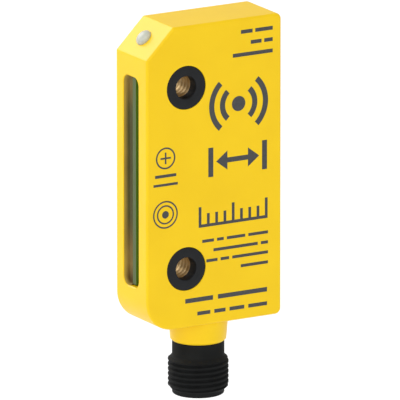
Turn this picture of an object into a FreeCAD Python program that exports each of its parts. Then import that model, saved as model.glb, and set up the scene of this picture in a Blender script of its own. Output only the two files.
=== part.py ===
import FreeCAD, Part
import math
import os

V = FreeCAD.Vector

# Housing: one moulding, sizes as seen from the front, in millimetres
body_w = 30.0            # left to right
body_d = 12.4            # front to back
body_h = 60.0            # bottom to top, without the neck
corner_leg = 6.0         # legs of the 45 degree corner, upper left, that carries the light guide
corner_edge_r = 0.5      # rounding where that corner meets the top and the side
lower_left_r = 6.0
right_corner_r = 1.2
front_edge_r = 0.5
back_edge_r = 1.1

# Mounting holes, one above the other near the left side
hole_from_left = 8.75
lower_hole_height = 11.8  # above the housing's bottom
upper_hole_drop = 12.2   # below the housing's top
screw_bore_d = 4.5       # through bush and sleeve, clear of an M4 screw
bush_d = 8.6
bush_edge_chamfer = 0.25
bush_mouth_chamfer = 0.2
sleeve_depth = 2.4       # the metal sleeve starts this far behind the front face
sleeve_d = 5.8

# Side pocket for the electronics, open on the left side
pocket_w = 5.7           # front to back
pocket_floor = 8.1       # above the housing's bottom
pocket_roof = 10.2       # below the housing's top
pocket_r = 1.6
pocket_mouth_chamfer = 0.2
right_wall = 2.8         # housing wall behind the pocket
resin_recess = 0.8       # resin behind the board, below the left side
resin_front_recess = 1.4  # resin in front of the board

# Neck under the housing and the channel for the leads above it
neck_len = 4.4
neck_top_r = 5.8
neck_low_r = 5.45
neck_edge_chamfer = 0.3
channel_pin_gap = 1.3    # from the pins' circle to the channel's left side
channel_lead_gap = 0.2   # from the last lead to the channel's right side

# Connector shell: round plug with a 12 mm thread, sizes down from the housing's bottom
spigot_r = 4.7
spigot_up = 1.0          # how far the shell reaches up into the housing
shank_r = 5.08
thread_r = 5.9
thread_from = 7.45
thread_to = 14.3
shell_to = 15.1
shell_end_chamfer = 0.3
cup_r = 4.3
cup_floor = 6.5
key_w = 1.1
key_h = 0.6
key_from_mouth = 0.8
carrier_flange = 1.0
carrier_r = 4.1
carrier_up = 0.6         # top of the contact carrier, above the housing's bottom

# Contact pins
pin_r = 0.5
pin_circle_r = 2.5
pin_angles = {1: 225, 2: 315, 3: 45, 4: 135}  # round the plug's axis, in degrees
pin_recess = 1.8         # pin tips behind the mouth of the shell
pin_tip_len = 0.5
pin_tip_r = 0.25

# Leads from the pins to the board
lead_r = 0.45
lead_sides = 8           # the hidden leads keep a plain many-sided section
lead_rise = 1.0          # from a lead's bend up to the board's lower edge
lead_lap = 2.0           # length of a lead that lies on the board
pad_pitch = 1.3
first_pad_left = 0.95    # first lead on the board, left of the plug's axis
first_pad_gap = 0.6      # but at least this far from the lower bush's notch

# Circuit board, upright in the middle of the pocket
board_t = 1.2
board_gap = 0.25         # to the pocket's floor, roof and right end
notch_gap = 0.4          # between a notch in the board and its bush

# Light guide and status lamp
guide_d = 3.3
guide_proud = 0.22
guide_head_len = 2.6
guide_stem_d = 1.8
lamp_w = 2.6
lamp_h = 1.4
lamp_d = 1.0
lamp_from_edge = 2.1     # lamp's middle behind the board's left edge
lamp_rise = 0.05         # lamp's top above the board's upper edge

# Sensing coil in its pot core, on the front of the board
core_d = 11.8
core_t = 1.9
core_post_d = 4.6
core_rim = 1.0
core_floor = 0.5
bobbin_wall = 0.15
coil_from_end = 6.9      # coil's axis from the board's right edge

# Parts on the board: width, height and thickness of each
processor_size = (5.0, 5.0, 0.9)
crystal_size = (3.2, 2.5, 0.8)
regulator_size = (4.5, 2.5, 1.5)
diode_size = (4.3, 2.6, 2.0)
buffer_size = (3.5, 2.8, 1.9)
choke_size = (4.0, 4.0, 1.2)
choke_cap_d = 3.4
choke_cap_t = 0.7
transistor_size = (2.9, 1.3, 1.0)
capacitor_size = (2.0, 1.25, 0.8)
capacitor_pitch = 2.4
capacitor_count = 6
resistor_size = (1.6, 0.8, 0.5)
resistor_pitch = 1.8
resistor_count = 8
leg_count = 3
leg_w = 0.5
leg_len = 0.7
leg_t = 0.15
column_from_end = 3.2    # axis of the right-hand column of parts, from the board's right edge

# Heights of the parts on the board's back, as shares of the board's height
share_up = {"choke": 0.12, "buffer": 0.28, "controller": 0.50, "monitor": 0.70, "diode": 0.88,
            "regulator": 0.36, "crystal": 0.62, "transistor_1": 0.42, "transistor_2": 0.55}

# Places across the board, as shares of its width
share_across = {"regulator": 0.48, "transistors": 0.26, "capacitors": 0.27, "resistors": 0.08}

fit_gap = 0.03           # between pieces that are pushed or bonded together
export_dir = "parts"

# Planes and places worked out from the sizes above
left = -hole_from_left
right = left + body_w
front = -body_d
mid_y = front / 2
hole_pitch = body_h - lower_hole_height - upper_hole_drop
bottom = -hole_pitch / 2 - lower_hole_height
top = bottom + body_h
hole_heights = {"upper": hole_pitch / 2, "lower": -hole_pitch / 2}
bush_r = bush_d / 2
screw_bore_r = screw_bore_d / 2
pocket_bottom = bottom + pocket_floor
pocket_top = top - pocket_roof
pocket_end = right - right_wall
board_left = left + resin_recess
board_right = pocket_end - board_gap
board_low = pocket_bottom + board_gap
board_high = pocket_top - board_gap
board_face = mid_y - board_t / 2
board_back = mid_y + board_t / 2
board_mid_z = (board_low + board_high) / 2
axis_x = (left + right) / 2
carrier_top = bottom + carrier_up
channel_floor = bottom + spigot_up
shell_bottom = bottom - shell_to


def box(x0, x1, y0, y1, z0, z1):
    """Block between two corners."""
    return Part.makeBox(x1 - x0, y1 - y0, z1 - z0, V(x0, y0, z0))


def turned(profile, x=0.0, y=0.0):
    """Solid turned about an upright axis from (radius, height) points."""
    points = [V(r, 0, z) for r, z in profile]
    face = Part.Face(Part.makePolygon(points + [points[0]]))
    solid = face.revolve(V(0, 0, 0), V(0, 0, 1), 360)
    solid.translate(V(x, y, 0))
    return solid


def through_rod(r, x, z, y0, y1):
    """Round rod from front to back."""
    return Part.makeCylinder(r, y1 - y0, V(x, y0, z), V(0, 1, 0))


def edges_in_plane(shape, y):
    """Edges that lie wholly at one depth."""
    return [e for e in shape.Edges
            if abs(e.BoundBox.YMin - y) < 1e-4 and abs(e.BoundBox.YMax - y) < 1e-4]


def edges_in_x_plane(shape, x):
    """Edges that lie wholly in one side plane."""
    return [e for e in shape.Edges
            if abs(e.BoundBox.XMin - x) < 1e-4 and abs(e.BoundBox.XMax - x) < 1e-4]


def corner_arc(cx, cz, r, start):
    """Quarter arc in the front plane, anticlockwise from an angle in degrees."""
    at = [math.radians(start + step) for step in (0, 45, 90)]
    ends = [V(cx + r * math.cos(a), 0, cz + r * math.sin(a)) for a in at]
    return Part.Arc(*ends).toShape()


def front_outline():
    """Closed front outline of the housing, drawn at the back face."""
    r, big = right_corner_r, lower_left_r
    cut_low = V(left, 0, top - corner_leg)
    cut_high = V(left + corner_leg, 0, top)
    arcs = [corner_arc(right - r, bottom + r, r, 270), corner_arc(right - r, top - r, r, 0)]
    last = corner_arc(left + big, bottom + big, big, 180)
    lines = [Part.makeLine(V(left + big, 0, bottom), V(right - r, 0, bottom)),
             Part.makeLine(V(right, 0, bottom + r), V(right, 0, top - r)),
             Part.makeLine(V(right - r, 0, top), cut_high),
             Part.makeLine(cut_high, cut_low),
             Part.makeLine(cut_low, V(left, 0, bottom + big))]
    edges = [lines[0], arcs[0], lines[1], arcs[1], lines[2], lines[3], lines[4], last]
    return Part.Wire(edges)


def cut_corner_edges(shape):
    """The two edges of the 45 degree corner that run from front to back."""
    ends = [(left, top - corner_leg), (left + corner_leg, top)]
    return [e for e in shape.Edges
            if e.BoundBox.YLength > body_d - 1e-3
            and any(abs(e.CenterOfMass.x - x) < 1e-3 and abs(e.CenterOfMass.z - z) < 1e-3
                    for x, z in ends)]


def housing_block():
    """Outside of the housing with its rounded edges, without the neck."""
    block = Part.Face(front_outline()).extrude(V(0, front, 0))
    block = block.makeFillet(corner_edge_r, cut_corner_edges(block))
    block = block.makeFillet(front_edge_r, edges_in_plane(block, front))
    return block.makeFillet(back_edge_r, edges_in_plane(block, 0))


def neck_block():
    """Tapered round neck, with its root in the housing's bottom."""
    z0 = bottom - neck_len
    up = bottom + back_edge_r
    c = neck_edge_chamfer
    profile = [(0, z0), (neck_low_r - c, z0), (neck_low_r, z0 + c), (neck_top_r, bottom),
               (neck_top_r, up), (0, up)]
    return turned(profile, axis_x, mid_y)


def pocket_prism(x0, x1):
    """Rounded upright block of the pocket's section between two depths."""
    half = pocket_w / 2
    block = box(x0, x1, mid_y - half, mid_y + half, pocket_bottom, pocket_top)
    long_edges = [e for e in block.Edges if e.BoundBox.XLength > x1 - x0 - 1e-6]
    return block.makeFillet(pocket_r, long_edges)


def pad_x(order):
    """Place of a lead on the board, counted from the left."""
    first = max(axis_x - first_pad_left, bush_r + notch_gap + first_pad_gap)
    return first + order * pad_pitch


def lead_channel(low):
    """Way for the leads up into the pocket, from a height below it."""
    x0 = axis_x - pin_circle_r - channel_pin_gap
    x1 = pad_x(len(pin_angles)) + lead_r + channel_lead_gap
    half = pocket_w / 2
    return box(x0, x1, mid_y - half, mid_y + half, low, pocket_bottom + pocket_r)


def guide_centre():
    """Middle of the 45 degree corner's face."""
    return V(left + corner_leg / 2, mid_y, top - corner_leg / 2)


def lamp_place():
    """Middle of the status lamp in plan, and its top."""
    return board_left + lamp_from_edge, board_face - lamp_d / 2, board_high + lamp_rise


def guide_solid(extra=0.0):
    """Light guide from the pocket's roof to the cut corner, or its hole when made larger."""
    out = V(-1, 0, 1).normalize()
    start = guide_centre() - out * (guide_head_len + extra)
    length = guide_head_len + extra + guide_proud
    head = Part.makeCylinder(guide_d / 2 + extra, length, start, out)
    x, y, _ = lamp_place()
    z0 = pocket_top - extra
    z1 = guide_centre().z - (guide_centre().x - x) - guide_stem_d
    stem = Part.makeCylinder(guide_stem_d / 2 + extra, z1 - z0, V(x, y, z0))
    return head.fuse(stem).removeSplitter()


def mouth_edges(shape):
    """Edges of the pocket's mouth in the housing's left side."""
    return [e for e in edges_in_x_plane(shape, left)
            if e.BoundBox.YMin > front + front_edge_r + 1e-3 and e.BoundBox.YMax < -back_edge_r - 1e-3
            and e.BoundBox.ZMin > pocket_bottom - 1e-3 and e.BoundBox.ZMax < pocket_top + 1e-3]


def make_housing():
    """The yellow moulding: block and neck, less everything that goes inside."""
    body = housing_block().fuse(neck_block())
    body = body.cut(pocket_prism(left, pocket_end))
    body = body.makeChamfer(pocket_mouth_chamfer, mouth_edges(body))
    for z in hole_heights.values():
        body = body.cut(through_rod(bush_r + fit_gap, 0, z, front, 0))
    bore_low = bottom - neck_len
    bore_top = channel_floor + fit_gap
    bore = Part.makeCylinder(spigot_r + fit_gap, bore_top - bore_low, V(axis_x, mid_y, bore_low))
    body = body.cut(bore)
    body = body.cut(lead_channel(channel_floor))
    return body.cut(guide_solid(fit_gap)).removeSplitter()


def make_bush(z):
    """Black mounting bush: flush with both faces, bored for the screw and its sleeve."""
    bush = through_rod(bush_r, 0, z, front, 0)
    bush = bush.makeChamfer(bush_edge_chamfer, edges_in_plane(bush, front))
    bush = bush.cut(through_rod(screw_bore_r, 0, z, front, 0))
    bush = bush.cut(through_rod(sleeve_d / 2 + fit_gap, 0, z, front + sleeve_depth, 0))
    c = bush_mouth_chamfer
    cone = Part.makeCone(screw_bore_r + c, screw_bore_r, c, V(0, front, z), V(0, 1, 0))
    return bush.cut(cone)


def make_sleeve(z):
    """Metal sleeve that takes the screw's load, behind the bush's mouth."""
    sleeve = through_rod(sleeve_d / 2, 0, z, front + sleeve_depth, 0)
    return sleeve.cut(through_rod(screw_bore_r, 0, z, front, 0))


def make_board():
    """Circuit board with a notch round each bush."""
    board = box(board_left, board_right, board_face, board_back, board_low, board_high)
    for z in hole_heights.values():
        board = board.cut(through_rod(bush_r + notch_gap, 0, z, front, 0))
    return board


def make_lamp():
    """Status lamp that shines up from the board's front."""
    x, y, z1 = lamp_place()
    return box(x - lamp_w / 2, x + lamp_w / 2, y - lamp_d / 2, y + lamp_d / 2, z1 - lamp_h, z1)


def coil_place():
    """Middle of the coil on the board's front."""
    return board_right - coil_from_end, board_mid_z


def ring_on_board(r_in, r_out, y0, y1):
    """Ring round the coil's axis between two depths."""
    x, z = coil_place()
    return through_rod(r_out, x, z, y0, y1).cut(through_rod(r_in, x, z, y0, y1))


def core_envelope():
    """Whole cylinder that the pot core, its spool and the winding fill."""
    x, z = coil_place()
    return through_rod(core_d / 2, x, z, board_face - core_t, board_face)


def make_core():
    """Pot core: floor on the board, middle post and rim."""
    well_r = core_d / 2 - core_rim
    well = ring_on_board(core_post_d / 2, well_r, board_face - core_t, board_face - core_floor)
    return core_envelope().cut(well)


def make_bobbin():
    """Thin tube on the core's post that carries the winding."""
    r_in = core_post_d / 2 + fit_gap
    return ring_on_board(r_in, r_in + bobbin_wall, board_face - core_t, board_face - core_floor)


def make_coil():
    """The winding between the bobbin and the core's rim."""
    r_in = core_post_d / 2 + fit_gap + bobbin_wall
    r_out = core_d / 2 - core_rim - fit_gap
    return ring_on_board(r_in, r_out, board_face - core_t, board_face - core_floor)


def place_up(name):
    """Height on the board of a part named in the shares."""
    return board_low + share_up[name] * (board_high - board_low)


def place_across(name):
    """Place across the board of a part or row named in the shares."""
    return board_left + share_across[name] * (board_right - board_left)


def chip(x, z, size, behind=True):
    """Plain block on the board's back, or on its front."""
    w, h, t = size
    y0 = board_back if behind else board_face - t
    return box(x - w / 2, x + w / 2, y0, y0 + t, z - h / 2, z + h / 2)


def legged_chip(x, z, size):
    """Package on the board's back with a row of flat legs above and below."""
    w, h, _ = size
    package = chip(x, z, size)
    pitch = w / leg_count
    for i in range(leg_count):
        at = x + (i + 0.5) * pitch - w / 2
        for z0 in (z - h / 2 - leg_len, z + h / 2):
            leg = box(at - leg_w / 2, at + leg_w / 2, board_back, board_back + leg_t, z0, z0 + leg_len)
            package = package.fuse(leg)
    return package.removeSplitter()


def legged_room(x, z, size):
    """Block that clears a package and its legs."""
    w, h, t = size
    return chip(x, z, (w, h + 2 * leg_len, t))


def make_choke(x, z):
    """Wound power choke with a square base and a round top."""
    base = chip(x, z, choke_size)
    y0 = board_back + choke_size[2]
    return base.fuse(through_rod(choke_cap_d / 2, x, z, y0, y0 + choke_cap_t))


def chip_row(x, z, size, count, pitch, behind):
    """Upright row of equal small parts, kept as separate solids."""
    rows = [chip(x, z + (i - (count - 1) / 2) * pitch, size, behind) for i in range(count)]
    return Part.makeCompound(rows)


def make_shell():
    """Threaded plug shell, with the cup for the mating half and its key."""
    c, e = thread_r - shank_r, shell_end_chamfer
    z = {"from": bottom - thread_from, "to": bottom - thread_to, "neck": bottom - neck_len}
    floor_z = bottom - cup_floor + carrier_flange
    outside = [(cup_r, shell_bottom), (shank_r - e, shell_bottom), (shank_r, shell_bottom + e),
               (shank_r, z["to"]), (thread_r, z["to"] + c), (thread_r, z["from"] - c),
               (shank_r, z["from"]), (shank_r, z["neck"]), (spigot_r, z["neck"]),
               (spigot_r, channel_floor)]
    inside = [(carrier_r + fit_gap, channel_floor), (carrier_r + fit_gap, floor_z), (cup_r, floor_z)]
    shell = turned(outside + inside, axis_x, mid_y)
    root = fit_gap
    key = box(axis_x - key_w / 2, axis_x + key_w / 2, mid_y - cup_r - root, mid_y - cup_r + key_h,
              shell_bottom + key_from_mouth, bottom - cup_floor)
    return shell.fuse(key).removeSplitter()


def pin_places():
    """Pin positions by number: four on a circle and one in the middle."""
    places = {n: (axis_x + pin_circle_r * math.cos(math.radians(a)),
                  mid_y + pin_circle_r * math.sin(math.radians(a))) for n, a in pin_angles.items()}
    places[5] = (axis_x, mid_y)
    return places


def make_pin(x, y):
    """Turned contact pin with a tapered tip, up to the lead channel's floor."""
    tip = shell_bottom + pin_recess
    end = channel_floor + fit_gap
    return turned([(0, tip), (pin_tip_r, tip), (pin_r, tip + pin_tip_len), (pin_r, end), (0, end)], x, y)


def make_carrier(pins):
    """Insulating carrier moulded round the pins."""
    z0 = bottom - cup_floor
    z1 = z0 + carrier_flange
    profile = [(0, z0), (cup_r - fit_gap, z0), (cup_r - fit_gap, z1 - fit_gap),
               (carrier_r, z1 - fit_gap), (carrier_r, carrier_top), (0, carrier_top)]
    carrier = turned(profile, axis_x, mid_y)
    for pin in pins:
        carrier = carrier.cut(pin.copy())
    return carrier


def level_ring(centre):
    """Level outline of a lead, with one flat side towards the board."""
    turn = math.pi / lead_sides
    r = lead_r / math.cos(turn)
    angles = [turn * (2 * i + 1) - math.pi / 2 for i in range(lead_sides)]
    points = [centre + V(r * math.cos(a), r * math.sin(a), 0) for a in angles]
    return Part.makePolygon(points + [points[0]])


def make_lead(x, y, order):
    """Insulated lead from a pin's end up to the back of the board."""
    lay_y = board_back + lead_r
    places = [V(x, y, channel_floor + fit_gap),
              V(pad_x(order), lay_y, board_low - lead_rise),
              V(pad_x(order), lay_y, board_low + lead_lap)]
    return Part.makeLoft([level_ring(at) for at in places], True, True)


def make_resin(inner):
    """Casting resin that fills the pocket and the channel round the electronics."""
    half = pocket_w / 2
    resin = pocket_prism(left, pocket_end)
    front_side = box(left, left + resin_front_recess, mid_y - half, board_back, pocket_bottom, pocket_top)
    back_side = box(left, board_left, mid_y - half, mid_y + half, pocket_bottom, pocket_top)
    resin = resin.cut(front_side.fuse(back_side))
    resin = resin.fuse(lead_channel(channel_floor + fit_gap))
    for z in hole_heights.values():
        resin = resin.cut(through_rod(bush_r + fit_gap, 0, z, front, 0))
    for shape in inner:
        resin = resin.cut(shape.copy())
    return max(resin.removeSplitter().Solids, key=lambda solid: solid.Volume)


def board_parts():
    """Parts on the board by node name, and the blocks of space that they take in the resin."""
    column = board_right - column_from_end
    plain = {
        "microcontroller": (column, place_up("controller"), processor_size),
        "monitor_controller": (column, place_up("monitor"), processor_size),
        "quartz_crystal": (place_across("regulator"), place_up("crystal"), crystal_size),
        "input_diode": (column, place_up("diode"), diode_size),
        "buffer_capacitor": (column, place_up("buffer"), buffer_size),
    }
    legged = {
        "voltage_regulator": (place_across("regulator"), place_up("regulator"), regulator_size),
        "output_transistor_1": (place_across("transistors"), place_up("transistor_1"), transistor_size),
        "output_transistor_2": (place_across("transistors"), place_up("transistor_2"), transistor_size),
    }
    rows = {
        "ceramic_capacitors": chip_row(place_across("capacitors"), board_mid_z, capacitor_size,
                                       capacitor_count, capacitor_pitch, False),
        "chip_resistors": chip_row(place_across("resistors"), board_mid_z, resistor_size,
                                   resistor_count, resistor_pitch, True),
    }
    parts = {name: chip(*spot) for name, spot in plain.items()}
    rooms = list(parts.values()) + [legged_room(*spot) for spot in legged.values()]
    parts.update({name: legged_chip(*spot) for name, spot in legged.items()})
    parts["power_inductor"] = make_choke(column, place_up("choke"))
    parts.update(rows)
    rooms += [parts["power_inductor"]] + list(rows.values())
    return parts, rooms


def build_nodes():
    """Every piece of the switch by node name."""
    places = pin_places()
    pins = {n: make_pin(*places[n]) for n in places}
    order = {4: 0, 1: 1, 5: 2, 2: 3, 3: 4}
    leads = {n: make_lead(*places[n], order[n]) for n in places}
    parts, rooms = board_parts()
    nodes = {"housing": make_housing(), "light_guide": guide_solid()}
    for name, z in hole_heights.items():
        nodes["bush_" + name] = make_bush(z)
        nodes["sleeve_" + name] = make_sleeve(z)
    nodes["circuit_board"] = make_board()
    nodes["status_lamp"] = make_lamp()
    nodes["pot_core"] = make_core()
    nodes["coil_bobbin"] = make_bobbin()
    nodes["sensing_coil"] = make_coil()
    nodes.update(parts)
    nodes["connector_shell"] = make_shell()
    nodes["contact_carrier"] = make_carrier(pins.values())
    for n in sorted(pins):
        nodes["contact_pin_%d" % n] = pins[n]
        nodes["lead_%d" % n] = leads[n]
    cast_in = [nodes["circuit_board"], nodes["status_lamp"], core_envelope()] + rooms
    nodes["casting_resin"] = make_resin(cast_in + list(leads.values()))
    return nodes


os.makedirs(export_dir, exist_ok=True)
for node, solid in build_nodes().items():
    solid.exportStep(os.path.join(export_dir, node + ".step"))
    print(node, len(solid.Solids), round(solid.Volume, 2), solid.isValid())
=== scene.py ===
import bmesh
import bpy
import math
import numpy as np
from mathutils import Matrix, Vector


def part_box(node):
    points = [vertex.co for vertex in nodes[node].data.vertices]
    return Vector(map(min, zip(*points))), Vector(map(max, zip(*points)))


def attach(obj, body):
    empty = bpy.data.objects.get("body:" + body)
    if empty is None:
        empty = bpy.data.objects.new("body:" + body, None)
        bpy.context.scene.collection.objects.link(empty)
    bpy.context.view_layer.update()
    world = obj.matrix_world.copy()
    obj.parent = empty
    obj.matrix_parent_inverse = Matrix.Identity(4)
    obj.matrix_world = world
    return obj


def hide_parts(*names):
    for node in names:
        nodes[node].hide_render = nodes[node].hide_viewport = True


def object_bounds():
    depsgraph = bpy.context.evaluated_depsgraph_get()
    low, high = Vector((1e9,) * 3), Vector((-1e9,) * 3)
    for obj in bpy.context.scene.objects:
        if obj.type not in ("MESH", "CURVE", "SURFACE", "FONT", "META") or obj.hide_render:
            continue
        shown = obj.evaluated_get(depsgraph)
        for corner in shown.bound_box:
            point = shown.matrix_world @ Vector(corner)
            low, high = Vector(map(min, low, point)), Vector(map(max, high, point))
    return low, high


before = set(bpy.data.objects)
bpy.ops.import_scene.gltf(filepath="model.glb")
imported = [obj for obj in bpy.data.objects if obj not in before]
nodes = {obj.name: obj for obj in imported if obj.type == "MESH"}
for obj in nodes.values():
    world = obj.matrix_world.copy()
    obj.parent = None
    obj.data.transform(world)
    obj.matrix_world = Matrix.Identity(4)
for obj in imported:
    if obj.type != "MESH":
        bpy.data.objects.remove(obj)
cadBox = [list(v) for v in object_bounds()]
mm = 0.001
print("frame loaded:", len(nodes), "nodes")

# planes and axes that every piece is set against
housingLow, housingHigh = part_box("housing")
shellLow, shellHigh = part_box("connector_shell")
boardLow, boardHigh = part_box("circuit_board")
leftX = housingLow.x
frontY = housingLow.y
backY = housingHigh.y
topZ = housingHigh.z
axisX = (shellLow.x + shellHigh.x) / 2
midY = (shellLow.y + shellHigh.y) / 2
# the housing without its neck, in millimetres; the pocket's roof and floor count from its top and bottom
bodySize = {"wide": 30.0, "high": 60.0, "cornerLeg": 6.0, "pocketRoof": 10.2, "pocketFloor": 8.1,
            "pocketWide": 5.7, "pocketRound": 1.6}
bottomZ = topZ - bodySize["high"] * mm


# Material helpers

# a material has its low colour where its noise is lowAt and its high colour where it is highAt
lowAt, highAt = 0.3, 0.7
# depth of a moulded grain and of turned rings, as a share of their width
grainDeep, ringDeep = 0.125, 0.1
# how much turned rings waver and how strongly they show
ringWaver, ringBump = 0.6, 0.3
# a wave texture repeats every waveRepeat / scale
waveRepeat = 0.314


def linearFromHex(text):
    # sRGB hex to the linear colour that a shader takes
    parts = [int(text[i:i + 2], 16) / 255 for i in (1, 3, 5)]
    return [c / 12.92 if c <= 0.04045 else ((c + 0.055) / 1.055) ** 2.4 for c in parts] + [1.0]


def addNode(tree, kind, settings=None, links=None, stops=None):
    # a node with its settings (properties or sockets), what feeds it, and a ramp's (place, hex) stops
    node = tree.nodes.new(kind)
    for key, value in (settings or {}).items():
        if isinstance(key, str) and key not in node.inputs:
            setattr(node, key, value)
        else:
            node.inputs[key].default_value = value
    for key, source in (links or {}).items():
        tree.links.new(source, node.inputs[key])
    if stops:
        elements = node.color_ramp.elements
        while len(elements) < len(stops):
            elements.new(0.5)
        for element, (place, colour) in zip(elements, stops):
            element.position = place
            element.color = linearFromHex(colour)
    return node


def newMaterial(name):
    # empty material: its tree, its Principled shader and the Object coordinates
    material = bpy.data.materials.new(name)
    material.use_nodes = True
    tree = material.node_tree
    where = addNode(tree, "ShaderNodeTexCoord").outputs["Object"]
    return material, tree, tree.nodes["Principled BSDF"], where


def moulded(name, look):
    # Moulded plastic: colour and gloss drift slowly over driftMm, and the mould's eroded grain is in the bump
    material, tree, shader, where = newMaterial(name)
    drift = addNode(tree, "ShaderNodeTexNoise", {"Scale": 1 / (look["driftMm"] * mm), "Detail": 2.0},
                    {"Vector": where}).outputs["Fac"]
    colour = addNode(tree, "ShaderNodeValToRGB", links={"Fac": drift},
                     stops=[(lowAt, look["low"]), (highAt, look["high"])])
    gloss = addNode(tree, "ShaderNodeMapRange", {"To Min": look["rough"][0], "To Max": look["rough"][1]},
                    {"Value": drift})
    grain = addNode(tree, "ShaderNodeTexNoise", {"Scale": 1 / (look["grainMm"] * mm), "Detail": 3.0},
                    {"Vector": where})
    bump = addNode(tree, "ShaderNodeBump", {"Distance": look["grainMm"] * mm * grainDeep,
                                            "Strength": look["bump"]},
                   {"Height": grain.outputs["Fac"]})
    tree.links.new(colour.outputs["Color"], shader.inputs["Base Color"])
    tree.links.new(gloss.outputs["Result"], shader.inputs["Roughness"])
    tree.links.new(bump.outputs["Normal"], shader.inputs["Normal"])
    shader.inputs["IOR"].default_value = look["ior"]
    shader.inputs["Specular IOR Level"].default_value = look["shine"]
    return material


def turnedMetal(name, look):
    # Turned or drawn metal: tool rings every ringMm along the axis in the bump, a slow drift in the tint
    material, tree, shader, where = newMaterial(name)
    drift = addNode(tree, "ShaderNodeTexNoise", {"Scale": 1 / (look["driftMm"] * mm), "Detail": 3.0},
                    {"Vector": where})
    colour = addNode(tree, "ShaderNodeValToRGB", links={"Fac": drift.outputs["Fac"]},
                     stops=[(lowAt, look["low"]), (highAt, look["high"])])
    rings = addNode(tree, "ShaderNodeTexWave", {"bands_direction": look["axis"], "Distortion": ringWaver,
                                                "Scale": waveRepeat / (look["ringMm"] * mm)},
                    {"Vector": where})
    bump = addNode(tree, "ShaderNodeBump", {"Distance": look["ringMm"] * mm * ringDeep, "Strength": ringBump},
                   {"Height": rings.outputs["Fac"]})
    tree.links.new(colour.outputs["Color"], shader.inputs["Base Color"])
    tree.links.new(bump.outputs["Normal"], shader.inputs["Normal"])
    shader.inputs["Metallic"].default_value = 1.0
    shader.inputs["Roughness"].default_value = look["rough"]
    return material


# Mesh helpers

def meshFromGrid(points, closeU=False, closeV=False, ends=False):
    # quads between neighbours of a grid (rows u, columns v); ends gives the first and last row a face
    rows, cols = points.shape[:2]
    u = np.arange(rows if closeU else rows - 1)
    v = np.arange(cols if closeV else cols - 1)
    uu, vv = np.meshgrid(u, v, indexing="ij")
    nextU = (uu + 1) % rows
    nextV = (vv + 1) % cols
    quads = np.stack([uu * cols + vv, nextU * cols + vv, nextU * cols + nextV, uu * cols + nextV], -1)
    faces = quads.reshape(-1, 4).tolist()
    if ends:
        faces += [list(range(cols)), list(range((rows - 1) * cols, rows * cols))]
    return points.reshape(-1, 3), faces


def objectFrom(name, parts, material, replaced=None, sharp=35.0):
    # one closed piece from (points, faces) parts: poles merged, faces outward, smooth but for sharp edges
    points, faces, start = [], [], 0
    for places, quads in parts:
        points.append(places)
        faces += [[i + start for i in quad] for quad in quads]
        start += len(places)
    mesh = bpy.data.meshes.new(name)
    mesh.from_pydata(np.concatenate(points).tolist(), [], faces)
    work = bmesh.new()
    work.from_mesh(mesh)
    bmesh.ops.remove_doubles(work, verts=work.verts, dist=1e-7)
    bmesh.ops.recalc_face_normals(work, faces=work.faces)
    work.to_mesh(mesh)
    work.free()
    mesh.shade_smooth()
    mesh.set_sharp_from_angle(angle=math.radians(sharp))
    mesh.materials.append(material)
    thing = bpy.data.objects.new(name, mesh)
    bpy.context.scene.collection.objects.link(thing)
    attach(thing, "root")
    if replaced:
        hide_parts(replaced)


def lathe(centre, along, profile, around):
    # point(step, turn) = centre + depth * along + radius * (cos turn * side + sin turn * up), a closed ring
    # of (radius, depth) steps in millimetres carried once round the axis
    along = Vector(along).normalized()
    side = along.orthogonal().normalized()
    up = along.cross(side)
    radius, depth = np.asarray(profile, float).T * mm
    turn = np.linspace(0, 2 * np.pi, around, endpoint=False)
    rim = np.cos(turn)[:, None] * np.array(side) + np.sin(turn)[:, None] * np.array(up)
    points = np.array(centre) + depth[:, None, None] * np.array(along) + radius[:, None, None] * rim
    return meshFromGrid(points, closeU=True, closeV=True)


def quarter(cornerR, cornerD, roundR, start, steps=5):
    # quarter circle of a profile about (cornerR, cornerD), from the start angle on, in degrees
    turn = np.radians(np.linspace(start, start + 90, steps))
    return [(cornerR + roundR * math.cos(a), cornerD + roundR * math.sin(a)) for a in turn]


# Housing: polyester, satin and even from a spark-eroded mould (grain drawn 4 times as coarse as it is)

housingLook = {"low": "#F0C606", "high": "#F4CB09", "driftMm": 9.0, "grainMm": 0.35, "bump": 0.12,
               "rough": (0.36, 0.41), "ior": 1.55, "shine": 0.23}
yellowPolyester = moulded("yellowPolyesterMoulded", housingLook)


def mergedCopy(node, name, sharp):
    # the node's own surface with its loose triangles merged, so that its rounded edges shade as one
    thing = bpy.data.objects.new(name, nodes[node].data.copy())
    bpy.context.scene.collection.objects.link(thing)
    if thing.data.has_custom_normals:
        bpy.context.view_layer.objects.active = thing
        thing.select_set(True)
        bpy.ops.mesh.customdata_custom_splitnormals_clear()
        thing.select_set(False)
    work = bmesh.new()
    work.from_mesh(thing.data)
    bmesh.ops.remove_doubles(work, verts=work.verts, dist=1e-6)
    work.to_mesh(thing.data)
    work.free()
    thing.data.name = name
    thing.data.materials.clear()
    thing.data.materials.append(yellowPolyester)
    thing.data.shade_smooth()
    thing.data.set_sharp_from_angle(angle=math.radians(sharp))
    # flat faces keep their own normal, the roundings take up the turn
    even = thing.modifiers.new("evenNormals", "WEIGHTED_NORMAL")
    even.keep_sharp = True
    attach(thing, "root")
    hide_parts(node)


mergedCopy("housing", "housing_moulding", sharp=25.0)
print("housing made")


# Bushes and sleeves in the two screw holes

bushLook = {"outerR": 4.3, "boreR": 2.25, "seatR": 2.91, "seatFrom": 2.4, "edgeRound": 0.25,
            "mouthRound": 0.2, "around": 96, "low": "#101214", "high": "#16181B", "driftMm": 2.0,
            "grainMm": 0.2, "bump": 0.25, "rough": (0.46, 0.54), "ior": 1.53, "shine": 0.22}
sleeveLook = {"outerR": 2.9, "boreR": 2.26, "from": 2.4, "ringPitch": 1.15, "ringDepth": 0.06, "rows": 110,
              "around": 96, "low": "#B49A6C", "high": "#C9B081", "driftMm": 1.2, "ringMm": 0.4, "axis": "Y",
              "rough": 0.5}
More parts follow.
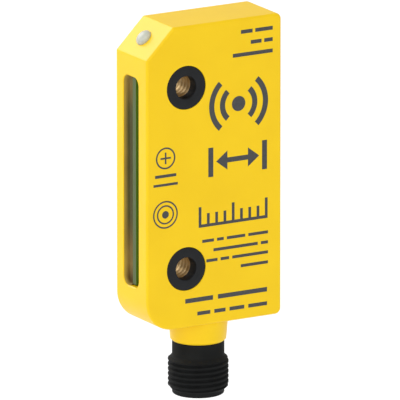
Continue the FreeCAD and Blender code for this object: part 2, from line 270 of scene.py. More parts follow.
# black nylon: fine matt grain, a touch of blue
blackNylon = moulded("blackNylonMoulded", bushLook)
# brass tube, dull from handling, with the boring tool's rings (drawn coarser than they are)
brassTurned = turnedMetal("brassTurned", sleeveLook)


def bushProfile(look, deep):
    # flat front between two small roundings, plain back, and a wider seat for the sleeve behind the mouth
    edge = look["edgeRound"]
    mouth = look["mouthRound"]
    rim = quarter(look["outerR"] - edge, edge, edge, -90)
    lip = quarter(look["boreR"] + mouth, mouth, mouth, 180)
    return lip + rim + [(look["outerR"], deep), (look["seatR"], deep), (look["seatR"], look["seatFrom"]),
                        (look["boreR"], look["seatFrom"])]


def sleeveProfile(look, deep):
    # bore radius(depth) = bore + ringDepth * |sin(pi * depth / pitch)|, so that crests stay on the bore
    depth = np.linspace(look["from"], deep, look["rows"])
    radius = look["boreR"] + look["ringDepth"] * np.abs(np.sin(np.pi * depth / look["ringPitch"]))
    return list(zip(radius, depth)) + [(look["outerR"], deep), (look["outerR"], look["from"])]


holeDeep = (backY - frontY) / mm
for place in ("upper", "lower"):
    low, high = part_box("bush_" + place)
    mouthCentre = ((low.x + high.x) / 2, frontY, (low.z + high.z) / 2)
    bush = lathe(mouthCentre, (0, 1, 0), bushProfile(bushLook, holeDeep), bushLook["around"])
    objectFrom("bush_%s_rounded" % place, [bush], blackNylon, "bush_" + place, sharp=40.0)
    sleeve = lathe(mouthCentre, (0, 1, 0), sleeveProfile(sleeveLook, holeDeep), sleeveLook["around"])
    objectFrom("sleeve_%s_ringed" % place, [sleeve], brassTurned, "sleeve_" + place,
               sharp=50.0)
print("bushes and sleeves made")


# Light guide: opal polycarbonate, milky with a smooth skin, so light sinks in a little and comes out again

guideLook = {"headR": 1.65, "headLen": 2.6, "rim": 0.2, "crown": 0.85, "steps": 16, "around": 72,
             "stemR": 0.9, "stemAround": 24, "low": "#B6B8AC", "high": "#C4C6B9", "cloudMm": 0.8,
             "bumpMm": 0.02, "bump": 0.4, "rough": 0.35, "ior": 1.58, "shine": 0.25, "sink": 0.35,
             "sinkMm": 0.4, "sinkTint": (0.8, 0.8, 0.7)}


def opalPolycarbonate(look):
    material, tree, shader, where = newMaterial("opalPolycarbonateMoulded")
    cloud = addNode(tree, "ShaderNodeTexNoise", {"Scale": 1 / (look["cloudMm"] * mm), "Detail": 2.0},
                    {"Vector": where})
    colour = addNode(tree, "ShaderNodeValToRGB", links={"Fac": cloud.outputs["Fac"]},
                     stops=[(lowAt, look["low"]), (highAt, look["high"])])
    bump = addNode(tree, "ShaderNodeBump", {"Distance": look["bumpMm"] * mm, "Strength": look["bump"]},
                   {"Height": cloud.outputs["Fac"]})
    tree.links.new(colour.outputs["Color"], shader.inputs["Base Color"])
    tree.links.new(bump.outputs["Normal"], shader.inputs["Normal"])
    shader.inputs["Roughness"].default_value = look["rough"]
    shader.inputs["IOR"].default_value = look["ior"]
    shader.inputs["Specular IOR Level"].default_value = look["shine"]
    shader.inputs["Subsurface Weight"].default_value = look["sink"]
    shader.inputs["Subsurface Radius"].default_value = look["sinkTint"]
    shader.inputs["Subsurface Scale"].default_value = look["sinkMm"] * mm
    return material


def guideProfile(look):
    # plain rod with a domed end: radius = head * sin t, depth = rim + crown * cos t, t from 0 to 90 degrees
    t = np.linspace(0, np.pi / 2, look["steps"])
    dome = list(zip(look["headR"] * np.sin(t), look["rim"] + look["crown"] * np.cos(t)))
    return dome + [(look["headR"], -look["headLen"]), (0.0, -look["headLen"])]


# the head stands square on the cut corner, and the stem comes up from the lamp and ends inside the head
opalPlastic = opalPolycarbonate(guideLook)
lampLow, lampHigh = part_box("status_lamp")
headCentre = Vector((leftX + bodySize["cornerLeg"] / 2 * mm, midY, topZ - bodySize["cornerLeg"] / 2 * mm))
head = lathe(headCentre, (-1, 0, 1), guideProfile(guideLook), guideLook["around"])
stemX = (lampLow.x + lampHigh.x) / 2
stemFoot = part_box("light_guide")[0].z
stemLen = (headCentre.z - (headCentre.x - stemX) - 2 * guideLook["stemR"] * mm - stemFoot) / mm
stem = lathe((stemX, (lampLow.y + lampHigh.y) / 2, stemFoot), (0, 0, 1),
             [(0, 0), (guideLook["stemR"], 0), (guideLook["stemR"], stemLen), (0, stemLen)],
             guideLook["stemAround"])
objectFrom("light_guide_domed", [head, stem], opalPlastic, "light_guide", sharp=40.0)
print("light guide made")


# Plug shell: a closed section carried round the axis, whose outer side follows the thread's helix.
# Heights count down from the housing's bottom. A crest passes crestDown at the angle crestAt, which is the
# plug's left edge as the camera sees it.

plugLook = {
    "shankR": 5.08, "spigotR": 4.7, "spigotUp": 1.0, "neckLen": 4.4, "threadFrom": 7.45, "threadTo": 14.3,
    "shellTo": 15.1, "threadR": 5.9, "rootR": 5.42, "pitch": 1.0, "crestFlat": 0.24, "flank": 0.30,
    "runIn": 1.1, "cupR": 4.3, "carrierR": 4.13, "cupFloor": 6.5, "flangeTop": 5.5, "endRound": 0.3,
    "mouthBevel": 0.3, "crestDown": 8.32, "crestAt": 149.742, "around": 240, "down": 150,
    "low": "#191A1A", "high": "#1F2020", "driftMm": 3.0, "grainMm": 0.25, "bump": 0.2, "rough": (0.60, 0.68),
    "ior": 1.53, "shine": 0.05,
}
keyLook = {"wide": 1.1, "high": 0.6, "fromMouth": 0.8, "bevel": 0.12, "sunk": 0.15}
# glass-filled nylon: deep black, soft sheen, fine grain
glassNylon = moulded("glassNylonMoulded", plugLook)


def plugShell(look):
    # radius(angle, height) = root + rise, where rise is a smooth ridge about crest height = pitch * turn,
    # held under a ramp at both ends of the thread; the rest of the section is the same all round
    head = np.array([(look["carrierR"], look["spigotUp"]), (look["spigotR"], look["spigotUp"]),
                     (look["spigotR"], -look["neckLen"]), (look["shankR"], -look["neckLen"])])
    end = look["endRound"]
    foot = np.array(quarter(look["shankR"] - end, end - look["shellTo"], end, -90)[::-1]
                    + [(look["cupR"] + look["mouthBevel"], -look["shellTo"]),
                       (look["cupR"], look["mouthBevel"] - look["shellTo"]),
                       (look["cupR"], -look["flangeTop"]), (look["carrierR"], -look["flangeTop"])])
    turn = np.linspace(0, 2 * np.pi, look["around"], endpoint=False)
    height = np.linspace(-look["threadFrom"], -look["threadTo"], look["down"])
    crest = look["pitch"] * (turn - math.radians(look["crestAt"])) / (2 * np.pi) - look["crestDown"]
    away = (height[:, None] - crest[None, :]) / look["pitch"]
    away = np.abs(away - np.round(away)) * look["pitch"]
    rise = np.clip((look["crestFlat"] / 2 + look["flank"] - away) / look["flank"], 0, 1)
    radius = look["rootR"] + (look["threadR"] - look["rootR"]) * rise * rise * (3 - 2 * rise)
    fromEnd = np.minimum(-look["threadFrom"] - height, height + look["threadTo"])[:, None]
    radius = np.minimum(radius, look["shankR"] + fromEnd * look["runIn"])
    radius = np.concatenate([np.repeat(head[:, :1], len(turn), 1), radius,
                             np.repeat(foot[:, :1], len(turn), 1)])
    height = np.concatenate([head[:, 1], height, foot[:, 1]])[:, None] * np.ones(len(turn))
    points = np.stack([radius * np.cos(turn), radius * np.sin(turn), height], -1) * mm
    return meshFromGrid(points + np.array([axisX, midY, bottomZ]), closeU=True, closeV=True)


def plugKey(look, plug):
    # coding key: a section with bevelled top edges, its root sunk in the cup's wall, carried straight up it
    half = look["wide"] / 2
    section = np.array([(-half, -look["sunk"]), (half, -look["sunk"]), (half, look["high"] - look["bevel"]),
                        (half - look["bevel"], look["high"]), (look["bevel"] - half, look["high"]),
                        (-half, look["high"] - look["bevel"])])
    heights = np.array([look["fromMouth"] - plug["shellTo"], -plug["cupFloor"]])
    ones = np.ones((2, len(section)))
    across = ones * section[:, 0]
    inward = ones * section[:, 1] - plug["cupR"]
    points = np.stack([across, inward, ones * heights[:, None]], -1)
    return meshFromGrid(points * mm + np.array([axisX, midY, bottomZ]), closeV=True, ends=True)


objectFrom("connector_shell_threaded", [plugShell(plugLook), plugKey(keyLook, plugLook)], glassNylon,
           "connector_shell", sharp=50.0)
print("threaded plug made")


# Contact carrier and its five pins

carrierLook = {"flangeR": 4.29, "flangeFrom": 6.5, "flangeTo": 5.51, "coreR": 4.1, "coreUp": 0.6,
               "collarR": 0.62, "collarWide": 0.16, "collarDeep": 0.12, "rows": 70, "around": 180,
               "low": "#191A1A", "high": "#1F2020", "driftMm": 3.0, "grainMm": 0.25, "bump": 0.2,
               "rough": (0.5, 0.6), "ior": 1.53, "shine": 0.05}
pinLook = {"r": 0.49, "taper": 0.6, "recess": 1.8, "circleR": 2.5, "angles": (225, 315, 45, 135),
           "steps": 10, "around": 28, "low": "#D9A441", "high": "#EBBB58", "driftMm": 1.5, "ringMm": 0.2,
           "axis": "Z", "rough": 0.22}
# nylon insert, a little rougher than the shell; gold over brass, bright and smooth from the tumbling drum
blackInsert = moulded("blackInsertMoulded", carrierLook)
goldPlated = turnedMetal("goldPlatedTurned", pinLook)
pinPlaces = [(pinLook["circleR"] * math.cos(math.radians(a)), pinLook["circleR"] * math.sin(math.radians(a)))
             for a in pinLook["angles"]] + [(0.0, 0.0)]


def contactCarrier(look):
    # face height(radius, angle) = flat + collarDeep * sum of smooth rings round each pin, and a stepped side
    radius = np.linspace(0, look["flangeR"], look["rows"])
    side = [(look["flangeR"], -look["flangeTo"]), (look["coreR"], -look["flangeTo"]),
            (look["coreR"], look["coreUp"]), (0.0, look["coreUp"])]
    face = np.stack([radius, np.full(len(radius), -look["flangeFrom"])], -1)
    steps = np.concatenate([face, np.array(side)])
    turn = np.linspace(0, 2 * np.pi, look["around"], endpoint=False)
    x = steps[:, :1] * np.cos(turn)
    y = steps[:, :1] * np.sin(turn)
    z = steps[:, 1:] * np.ones(len(turn))
    groove = np.zeros_like(x)
    for px, py in pinPlaces:
        away = (np.hypot(x - px, y - py) - look["collarR"]) / look["collarWide"]
        groove += np.exp(-away ** 2)
    z[:len(radius)] += look["collarDeep"] * groove[:len(radius)]
    points = np.stack([x, y, z], -1) * mm + np.array([axisX, midY, bottomZ])
    return meshFromGrid(points, closeU=True, closeV=True)


def pinProfile(look, plug, top):
    # domed tip: radius(t) = r * sqrt(1 - (1 - t)^2) over the taper's length, then a plain rod
    t = 1 - np.cos(np.linspace(0, np.pi / 2, look["steps"]))
    tip = look["recess"] - plug["shellTo"]
    dome = list(zip(look["r"] * np.sqrt(1 - (1 - t) ** 2), tip + look["taper"] * t))
    return dome + [(look["r"], top), (0.0, top)]


objectFrom("contact_carrier_grooved", [contactCarrier(carrierLook)], blackInsert, "contact_carrier",
           sharp=40.0)
for number, (px, py) in enumerate(pinPlaces, 1):
    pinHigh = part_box("contact_pin_%d" % number)[1].z
    profile = pinProfile(pinLook, plugLook, (pinHigh - bottomZ) / mm)
    pin = lathe((axisX + px * mm, midY + py * mm, bottomZ), (0, 0, 1), profile, pinLook["around"])
    objectFrom("contact_pin_%d_domed" % number, [pin], goldPlated, "contact_pin_%d" % number,
               sharp=40.0)
print("carrier and pins made")


# Casting resin: clear amber polyurethane, poured; dark parts below make it olive, and it is browner near the
# pocket's ends. The thin film up the wall stays amber; this film is painted shade, a sheet that darkens the
# wall

# the amber is the colour of the film up the pocket's wall, which is painted shade over the yellow wall
resinLook = {"amber": "#B29748", "tones": [(0.03, "#4F3B1C"), (0.1, "#796232"), (0.17, "#796235"),
                                           (0.32, "#4F4B2B"), (0.82, "#4F4B2B"), (0.95, "#735F2F")],
             "cloud": ("#B9B2A0", "#FFFFFF"), "cloudMm": 6.0, "cloudShare": 0.4, "rippleMm": 2.5,
             "rippleDeepMm": 0.15, "bump": 0.3, "rough": 0.18, "ior": 1.5, "shine": 0.05}
# the film up the pocket's wall is painted shade: a thin amber sheet laid over the wall where it lies in shade
shadeFilmLook = {"level": 0.8, "rise": 0.66, "foot": 0.65, "sunk": 0.06, "steps": 9, "roundSteps": 9,
            "clear": 0.25}


def amberResin(look, film):
    # cast(z) = ramp over the pocket's height; colour(x, z) = amber at the mouth, going over to cast(z)
    # between the film's clear share and the resin's level
    # the amber at the mouth colours the film up the wall, which paints the pocket's shade
    material, tree, shader, where = newMaterial("amberPolyurethaneCast")
    place = addNode(tree, "ShaderNodeSeparateXYZ", links={"Vector": where})
    height = addNode(tree, "ShaderNodeMapRange", {"From Min": bottomZ + bodySize["pocketFloor"] * mm,
                                                  "From Max": topZ - bodySize["pocketRoof"] * mm},
                     {"Value": place.outputs["Z"]})
    cast = addNode(tree, "ShaderNodeValToRGB", links={"Fac": height.outputs["Result"]}, stops=look["tones"])
    amberTo = film["level"] - film["rise"] * (1 - film["clear"])
    depth = addNode(tree, "ShaderNodeMapRange", {"From Min": leftX + amberTo * mm,
                                                 "From Max": leftX + film["level"] * mm},
                    {"Value": place.outputs["X"]})
    body = addNode(tree, "ShaderNodeMix", {"data_type": "RGBA", "A": linearFromHex(look["amber"])},
                   {"Factor": depth.outputs["Result"], "B": cast.outputs["Color"]})
    cloud = addNode(tree, "ShaderNodeTexNoise", {"Scale": 1 / (look["cloudMm"] * mm), "Detail": 3.0},
                    {"Vector": where})
    tint = addNode(tree, "ShaderNodeValToRGB", links={"Fac": cloud.outputs["Fac"]},
                   stops=[(lowAt, look["cloud"][0]), (highAt, look["cloud"][1])])
    mixed = addNode(tree, "ShaderNodeMix", {"data_type": "RGBA", "blend_type": "MULTIPLY",
                                            "Factor": look["cloudShare"]},
                    {"A": body.outputs["Result"], "B": tint.outputs["Color"]})
    ripple = addNode(tree, "ShaderNodeTexNoise", {"Scale": 1 / (look["rippleMm"] * mm), "Detail": 1.0},
                     {"Vector": where})
    bump = addNode(tree, "ShaderNodeBump", {"Distance": look["rippleDeepMm"] * mm,
                                            "Strength": look["bump"]},
                   {"Height": ripple.outputs["Fac"]})
    tree.links.new(mixed.outputs["Result"], shader.inputs["Base Color"])
    tree.links.new(bump.outputs["Normal"], shader.inputs["Normal"])
    shader.inputs["Roughness"].default_value = look["rough"]
    shader.inputs["IOR"].default_value = look["ior"]
    shader.inputs["Specular IOR Level"].default_value = look["shine"]
    return material


def pocketPath(look, steps):
    # the back half of the pocket's rounded mouth: from the board along the roof, a quarter circle, down the
    # back, a quarter circle and along the floor to the board; each point has its way into the pocket
    half = look["pocketWide"] / 2 * mm
    r = look["pocketRound"] * mm
    roof = topZ - look["pocketRoof"] * mm
    floor = bottomZ + look["pocketFloor"] * mm
    back = midY + half
    turn = np.radians(np.linspace(0, 90, steps))
    upper = np.stack([back - r + r * np.sin(turn), roof - r + r * np.cos(turn)], -1)
    lower = np.stack([back - r + r * np.cos(turn), floor + r - r * np.sin(turn)], -1)
    path = np.concatenate([[(boardHigh.y, roof)], upper, lower, [(boardHigh.y, floor)]])
    inwardUpper = np.stack([-np.sin(turn), -np.cos(turn)], -1)
    inwardLower = np.stack([-np.cos(turn), np.sin(turn)], -1)
    inward = np.concatenate([[(0, -1)], inwardUpper, inwardLower, [(0, 1)]])
    return path, inward


def paintedShadeFilm(look):
    # painted shade: a thin amber sheet over the pocket's wall, darker than the yellow wall it covers
    # section across the wall: a concave quarter ellipse from the wall down to the resin's face,
    # off wall = foot * (1 - cos t), depth = level - rise + rise * sin t, carried along the pocket's rim
    path, inward = pocketPath(bodySize, look["roundSteps"])
    t = np.linspace(0, np.pi / 2, look["steps"])
    off = np.concatenate([look["foot"] * (1 - np.cos(t)), [look["foot"], 0.0]]) * mm
    depth = np.concatenate([look["level"] - look["rise"] * (1 - np.sin(t)),
                            [look["level"] + look["sunk"], look["level"] + look["sunk"]]]) * mm
    spread = path[:, None, :] + inward[:, None, :] * off[None, :, None]
    x = leftX + depth[None, :] * np.ones((len(path), 1))
    return meshFromGrid(np.concatenate([x[:, :, None], spread], -1), closeV=True, ends=True)


castResin = amberResin(resinLook, shadeFilmLook)
# the film is painted shade on the pocket's wall
objectFrom("resin_film_painted_shade", [paintedShadeFilm(shadeFilmLook)], castResin, sharp=40.0)
print("resin film made")


# Circuit board: glass-epoxy, green mask on its faces, pale grey-green fibre ends along the sawn edge

boardLook = {"edge": ("#4C5B38", "#5C6B46"), "mask": ("#527A21", "#5C8629"), "skinMm": 0.04, "weaveMm": 0.2,
             "waver": 1.5, "weaveDeepMm": 0.02, "bump": 0.5, "rough": 0.45, "shine": 0.25}


def glassEpoxy(look):
    # the mask's green reaches skinMm in from both faces, and the weave's layers are stripes along the edge
    material, tree, shader, where = newMaterial("glassEpoxyLaminated")
    place = addNode(tree, "ShaderNodeSeparateXYZ", links={"Vector": where})
    middle = (boardLow.y + boardHigh.y) / 2
    half = (boardHigh.y - boardLow.y) / 2
    offset = addNode(tree, "ShaderNodeMath", {"operation": "SUBTRACT", 1: middle}, {0: place.outputs["Y"]})
    away = addNode(tree, "ShaderNodeMath", {"operation": "ABSOLUTE"}, {0: offset.outputs["Value"]})
    skin = addNode(tree, "ShaderNodeMath", {"operation": "GREATER_THAN", 1: half - look["skinMm"] * mm},
                   {0: away.outputs["Value"]})
    weave = addNode(tree, "ShaderNodeTexWave", {"bands_direction": "Y", "Distortion": look["waver"],
                                                "Scale": waveRepeat / (look["weaveMm"] * mm)},
                    {"Vector": where})
    edge = addNode(tree, "ShaderNodeValToRGB", links={"Fac": weave.outputs["Fac"]},
                   stops=[(0.0, look["edge"][0]), (1.0, look["edge"][1])])
    mask = addNode(tree, "ShaderNodeValToRGB", links={"Fac": weave.outputs["Fac"]},
                   stops=[(0.0, look["mask"][0]), (1.0, look["mask"][1])])
    mixed = addNode(tree, "ShaderNodeMix", {"data_type": "RGBA"},
                    {"Factor": skin.outputs["Value"], "A": edge.outputs["Color"], "B": mask.outputs["Color"]})
    bump = addNode(tree, "ShaderNodeBump", {"Distance": look["weaveDeepMm"] * mm, "Strength": look["bump"]},
                   {"Height": weave.outputs["Fac"]})
    tree.links.new(mixed.outputs["Result"], shader.inputs["Base Color"])
    tree.links.new(bump.outputs["Normal"], shader.inputs["Normal"])
    shader.inputs["Roughness"].default_value = look["rough"]
    shader.inputs["Specular IOR Level"].default_value = look["shine"]
    return material


# Materials of the nodes that stay as they are: resin, board and the small parts in them, each by its stuff

smallLook = {"driftMm": 1.5, "grainMm": 0.4, "bump": 0.15, "rough": (0.4, 0.48), "ior": 1.5, "shine": 0.5}
coilLook = {"low": "#9A4A22", "high": "#B45F30", "driftMm": 1.0, "ringMm": 0.12, "axis": "Y", "rough": 0.35}
crystalLook = {"low": "#B9B7B0", "high": "#C9C7C1", "driftMm": 2.0, "ringMm": 0.3, "axis": "X", "rough": 0.35}
chipEpoxy = moulded("chipEpoxyMoulded", dict(smallLook, low="#151516", high="#1D1D1E", rough=(0.5, 0.6)))
ferrite = moulded("ferriteSintered", dict(smallLook, low="#2E2E31", high="#3A3A3D", rough=(0.55, 0.63)))
copperWire = turnedMetal("copperWireWound", coilLook)
tinPlated = turnedMetal("tinPlatedDrawn", crystalLook)
keptNodes = {
    "casting_resin": castResin, "circuit_board": glassEpoxy(boardLook), "pot_core": ferrite,
    "power_inductor": ferrite, "sensing_coil": copperWire, "quartz_crystal": tinPlated,
    "status_lamp": moulded("whiteEpoxyMoulded", dict(smallLook, low="#D8D6C8", high="#E4E2D6")),
    "coil_bobbin": moulded("naturalNylonMoulded", dict(smallLook, low="#D9D2C0", high="#E3DDCC")),
    "buffer_capacitor": moulded("tantalumResinMoulded", dict(smallLook, low="#C58A1E", high="#D29627")),
    "ceramic_capacitors": moulded("ceramicFired", dict(smallLook, low="#A98A62", high="#B7986E")),
}
leadColours = {1: ("#5A3A22", "#66432A"), 2: ("#D6D5CE", "#E2E1DA"), 3: ("#24428C", "#2C4C99"),
               4: ("#1C1C1C", "#242424"), 5: ("#7E8084", "#8A8C90")}
for number, (low, high) in leadColours.items():
    keptNodes["lead_%d" % number] = moulded("pvcExtruded%d" % number, dict(smallLook, low=low, high=high))
replacedNodes = {"housing": yellowPolyester, "light_guide": opalPlastic, "bush_upper": blackNylon,
                 "bush_lower": blackNylon, "sleeve_upper": brassTurned, "sleeve_lower": brassTurned,
                 "connector_shell": glassNylon, "contact_carrier": blackInsert}
replacedNodes.update({"contact_pin_%d" % number: goldPlated for number in range(1, len(pinPlaces) + 1)})
# the chips that neither list names are black epoxy
for name, thing in nodes.items():
    thing.data.materials.clear()
    thing.data.materials.append(keptNodes.get(name, replacedNodes.get(name, chipEpoxy)))
print("materials set on", len(nodes), "nodes")


# Printing on the front: plain bars and simple signs, in millimetres from the left side and the bottom

inkLook = {"low": "#38393A", "high": "#434445", "fullAt": 0.75, "spreadMm": 0.5, "rough": 0.6, "thick": 0.012,
           "lift": 0.004}
textBars = [  # right end, height above the bottom, bar height, gap, bar lengths
    (28.0, 57.3, 0.75, 0.6, (2.6, 3.9)),
    (28.0, 55.05, 0.75, 0.6, (2.4, 1.9)),
    (28.0, 52.8, 0.75, 0.6, (8.9,)),
    (27.0, 16.8, 0.6, 0.7, (2.6, 1.5, 4.1, 4.4)),
    (27.0, 14.8, 0.6, 0.7, (9.9, 1.6)),
    (27.0, 12.8, 0.6, 0.7, (2.5, 1.9, 8.0)),
    (27.0, 10.8, 0.6, 0.7, (6.1,)),
    (26.8, 5.35, 0.9, 1.1, (6.2, 11.0)),
    (26.8, 2.55, 0.75, 0.9, (2.9, 2.5, 3.3, 4.2)),
    (6.5, 30.9, 0.6, 0.5, (4.7,)),
    (6.85, 29.15, 0.5, 0.5, (5.4,)),
]
fieldSign = {"x": 20.4, "z": 43.2, "spot": 1.5, "arcs": (3.6, 6.0), "half": 48, "wide": 1.15}
distanceSign = {"left": 14.2, "right": 26.2, "z": 32.3, "wallHalf": 2.9, "wallWide": 1.1, "gap": 1.2,
                "headLen": 2.5, "headHalf": 1.9, "shaft": 1.0}
scaleSign = {"left": 11.8, "right": 26.6, "z": 19.9, "wide": 0.6, "tall": 3.8, "short": 2.4, "ticks": 9,
             "longEvery": 4}
crossSign = {"x": 4.15, "z": 34.4, "ring": 2.0, "ringWide": 0.32, "arm": 1.15, "armWide": 0.35}
targetSign = {"x": 4.1, "z": 23.2, "rings": (2.6, 1.75), "ringWide": 0.3, "spot": 0.75}


def padPrintInk(look):
    # Pad-printed ink: matt dark grey, a little thin where the pad pressed less
    material, tree, shader, where = newMaterial("greyInkPadPrinted")
    spread = addNode(tree, "ShaderNodeTexNoise", {"Scale": 1 / (look["spreadMm"] * mm), "Detail": 4.0},
                     {"Vector": where})
    colour = addNode(tree, "ShaderNodeValToRGB", links={"Fac": spread.outputs["Fac"]},
                     stops=[(lowAt, look["low"]), (look["fullAt"], look["high"])])
    tree.links.new(colour.outputs["Color"], shader.inputs["Base Color"])
    shader.inputs["Roughness"].default_value = look["rough"]
    return material


def inkForm(outline):
    # a flat closed form from its outline, in millimetres right of the left side and above the bottom
    outline = np.asarray(outline, float)
    layers = [np.stack([outline[:, 0], np.full(len(outline), -out), outline[:, 1]], -1)
              for out in (inkLook["lift"], inkLook["lift"] + inkLook["thick"])]
    points = np.stack(layers) * mm + np.array([leftX, frontY, bottomZ])
    return meshFromGrid(points, closeV=True, ends=True)


def inkStroke(path, width, closed=False):
    # a line of even width: the path moved half a width to each side, joined at its ends
    path = np.asarray(path, float)
    along = np.roll(path, -1, 0) - np.roll(path, 1, 0) if closed else np.gradient(path, axis=0)
    along = along / np.linalg.norm(along, axis=1)[:, None]
    side = np.stack([-along[:, 1], along[:, 0]], -1) * width / 2
    if not closed:
        return inkForm(np.concatenate([path + side, (path - side)[::-1]]))
    rims = [(path + side, 0), (path + side, 1), (path - side, 1), (path - side, 0)]
    layers = []
    for rim, up in rims:
        out = np.full(len(rim), -inkLook["lift"] - inkLook["thick"] * up)
        layers.append(np.stack([rim[:, 0], out, rim[:, 1]], -1))
    points = np.stack(layers, 1) * mm + np.array([leftX, frontY, bottomZ])
    return meshFromGrid(points, closeU=True, closeV=True)


def arcPath(x, z, r, start, stop, count=33):
    # part of a circle about (x, z)
    turn = np.radians(np.linspace(start, stop, count))
    return np.stack([x + r * np.cos(turn), z + r * np.sin(turn)], -1)


def ringPath(x, z, r, count=60):
    # a full circle without its last point, which is the first again
    return arcPath(x, z, r, 0, 360 - 360 / count, count)


def barRow(right, z, tall, gap, lengths):
    # bars side by side that end at the right
    made = []
    for length in reversed(lengths):
        made.append(inkStroke([(right - length, z), (right, z)], tall))
        right -= length + gap
    return made


def fieldForms(s):
    # a spot between two pairs of arcs
    made = [inkForm(ringPath(s["x"], s["z"], s["spot"], count=40))]
    for r in s["arcs"]:
        made.append(inkStroke(arcPath(s["x"], s["z"], r, -s["half"], s["half"]), s["wide"]))
        made.append(inkStroke(arcPath(s["x"], s["z"], r, 180 - s["half"], 180 + s["half"]), s["wide"]))
    return made


def distanceForms(s):
    # two walls with an arrow between them; the arrow's left half is the right half turned about its middle
    z = s["z"]
    made = [inkStroke([(wall, z - s["wallHalf"]), (wall, z + s["wallHalf"])], s["wallWide"])
            for wall in (s["left"], s["right"])]
    middle = (s["left"] + s["right"]) / 2
    tip = middle - s["left"] - s["gap"]
    base = tip - s["headLen"]
    half = np.array([(base, s["shaft"] / 2), (base, s["headHalf"]), (tip, 0), (base, -s["headHalf"]),
                     (base, -s["shaft"] / 2)])
    return made + [inkForm(np.concatenate([half, -half]) + (middle, z))]


def scaleForms(s):
    # one comb, its outline along the base and then over the ticks from right to left
    half = s["wide"] / 2
    comb = [(s["left"] - half, s["z"] - half), (s["right"] + half, s["z"] - half)]
    for i, x in enumerate(np.linspace(s["right"], s["left"], s["ticks"])):
        top = s["z"] + (s["tall"] if i % s["longEvery"] == 0 else s["short"])
        comb += [(x + half, s["z"] + half), (x + half, top), (x - half, top), (x - half, s["z"] + half)]
    return [inkForm(comb[:2] + comb[3:-1])]


def crossForms(s):
    # a cross in a ring
    arm = s["arm"]
    half = s["armWide"] / 2
    cross = [(arm, half), (half, half), (half, arm), (-half, arm), (-half, half), (-arm, half),
             (-arm, -half), (-half, -half), (-half, -arm), (half, -arm), (half, -half), (arm, -half)]
    return [inkStroke(ringPath(s["x"], s["z"], s["ring"]), s["ringWide"], closed=True),
            inkForm(np.array(cross) + (s["x"], s["z"]))]


def targetForms(s):
    # a spot in two rings
    made = [inkStroke(ringPath(s["x"], s["z"], r), s["ringWide"], closed=True) for r in s["rings"]]
    return made + [inkForm(ringPath(s["x"], s["z"], s["spot"], count=30))]


printForms = []
for row in textBars:
    printForms += barRow(*row)
printForms += fieldForms(fieldSign) + distanceForms(distanceSign) + scaleForms(scaleSign)
printForms += crossForms(crossSign) + targetForms(targetSign)
objectFrom("front_print", printForms, padPrintInk(inkLook), sharp=40.0)
print("printing made")


# Stage, lights and camera

# the floor lies drop millimetres below the plug and reaches half metres each way
stageLook = {"floor": "#F2F2F2", "glow": 0.14, "rough": 0.9, "rollerMm": 3.0, "peelMm": 0.1, "bump": 0.1,
             "drop": 60.0, "half": 6.0, "world": 0.69}
# area lights: the way to each from the object's middle, and its distance and side in metres
lights = {
    "key": {"direction": (-0.45, -0.75, 0.48), "distance": 1.2, "size": 0.9, "watts": 3.35},
    "side": {"direction": (-0.75, -0.05, 0.66), "distance": 1.3, "size": 0.8, "watts": 3.3},
    "back": {"direction": (-0.25, 0.83, 0.49), "distance": 1.0, "size": 0.55, "watts": 4.2},
    "over": {"direction": (0.0, -0.05, 1.0), "distance": 1.5, "size": 1.6, "watts": 0.6},
}
# a long lens that looks down a little from the left, almost without perspective, fitted to the object's
# edges in the photograph; degrees and millimetres, but clip in metres
cameraLook = {"azimuth": 30.258, "elevation": 14.666, "distance": 2500.0, "pixelsPerMm": 5.1799,
              "sideways": 0.3801, "height": 23.298, "depth": 6.25, "frame": 400, "sensor": 36.0,
              "clip": (0.05, 20.0)}


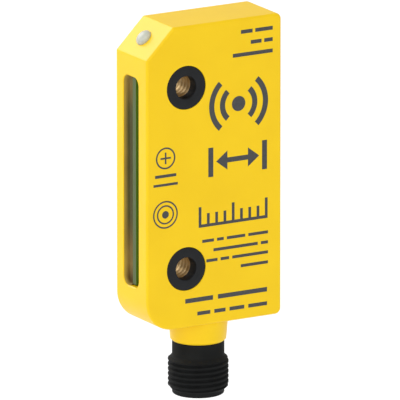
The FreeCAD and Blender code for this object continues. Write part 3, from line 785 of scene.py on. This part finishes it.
def makeFloor(look):
    # a flat pale square well below the object, which glows a little as a light table does
    mesh = bpy.data.meshes.new("floor")
    half = look["half"]
    z = cadBox[0][2] - look["drop"] * mm
    corners = [(-half, -half, z), (half, -half, z), (half, half, z), (-half, half, z)]
    mesh.from_pydata(corners, [], [(0, 1, 2, 3)])
    # painted board: matt, with the roller's faint orange peel
    material, tree, shader, where = newMaterial("paleFloorPainted")
    roller = addNode(tree, "ShaderNodeTexNoise", {"Scale": 1 / (look["rollerMm"] * mm)}, {"Vector": where})
    bump = addNode(tree, "ShaderNodeBump", {"Distance": look["peelMm"] * mm, "Strength": look["bump"]},
                   {"Height": roller.outputs["Fac"]})
    tree.links.new(bump.outputs["Normal"], shader.inputs["Normal"])
    shader.inputs["Base Color"].default_value = linearFromHex(look["floor"])
    shader.inputs["Roughness"].default_value = look["rough"]
    shader.inputs["Emission Color"].default_value = (1, 1, 1, 1)
    shader.inputs["Emission Strength"].default_value = look["glow"]
    mesh.materials.append(material)
    floor = bpy.data.objects.new("floor", mesh)
    bpy.context.scene.collection.objects.link(floor)


def aimAlong(thing, way):
    # lights and cameras look down their own -Z
    thing.rotation_mode = "QUATERNION"
    thing.rotation_quaternion = way.to_track_quat("-Z", "Y")
    bpy.context.scene.collection.objects.link(thing)


def makeLights():
    middle = Vector((axisX, midY, (topZ + bottomZ) / 2))
    for name, look in lights.items():
        data = bpy.data.lights.new(name, "AREA")
        data.shape = "SQUARE"
        data.size = look["size"]
        data.energy = look["watts"]
        lamp = bpy.data.objects.new(name, data)
        way = Vector(look["direction"]).normalized()
        lamp.location = middle + way * look["distance"]
        aimAlong(lamp, -way)
    world = bpy.data.worlds.new("studio")
    world.use_nodes = True
    world.node_tree.nodes["Background"].inputs["Color"].default_value = (1, 1, 1, 1)
    world.node_tree.nodes["Background"].inputs["Strength"].default_value = stageLook["world"]
    bpy.context.scene.world = world


def makeCamera(look):
    # the lens is so long that a millimetre at the object is pixelsPerMm pixels wide in the picture
    a = math.radians(look["azimuth"])
    e = math.radians(look["elevation"])
    back = Vector((-math.sin(a) * math.cos(e), -math.cos(a) * math.cos(e), math.sin(e)))
    right = Vector((math.cos(a), -math.sin(a), 0))
    middle = Vector((leftX + bodySize["wide"] / 2 * mm, frontY + look["depth"] * mm, bottomZ))
    aim = middle + Vector((0, 0, look["height"] * mm)) + right * look["sideways"] * mm
    data = bpy.data.cameras.new("camera")
    data.sensor_width = look["sensor"]
    data.lens = look["pixelsPerMm"] * look["distance"] / look["frame"] * look["sensor"]
    data.clip_start, data.clip_end = look["clip"]
    camera = bpy.data.objects.new("camera", data)
    camera.location = aim + back * look["distance"] * mm
    aimAlong(camera, -back)
    bpy.context.scene.camera = camera


makeFloor(stageLook)
makeLights()
makeCamera(cameraLook)
bpy.context.scene.view_settings.view_transform = "Standard"
print("stage, lights and camera set")
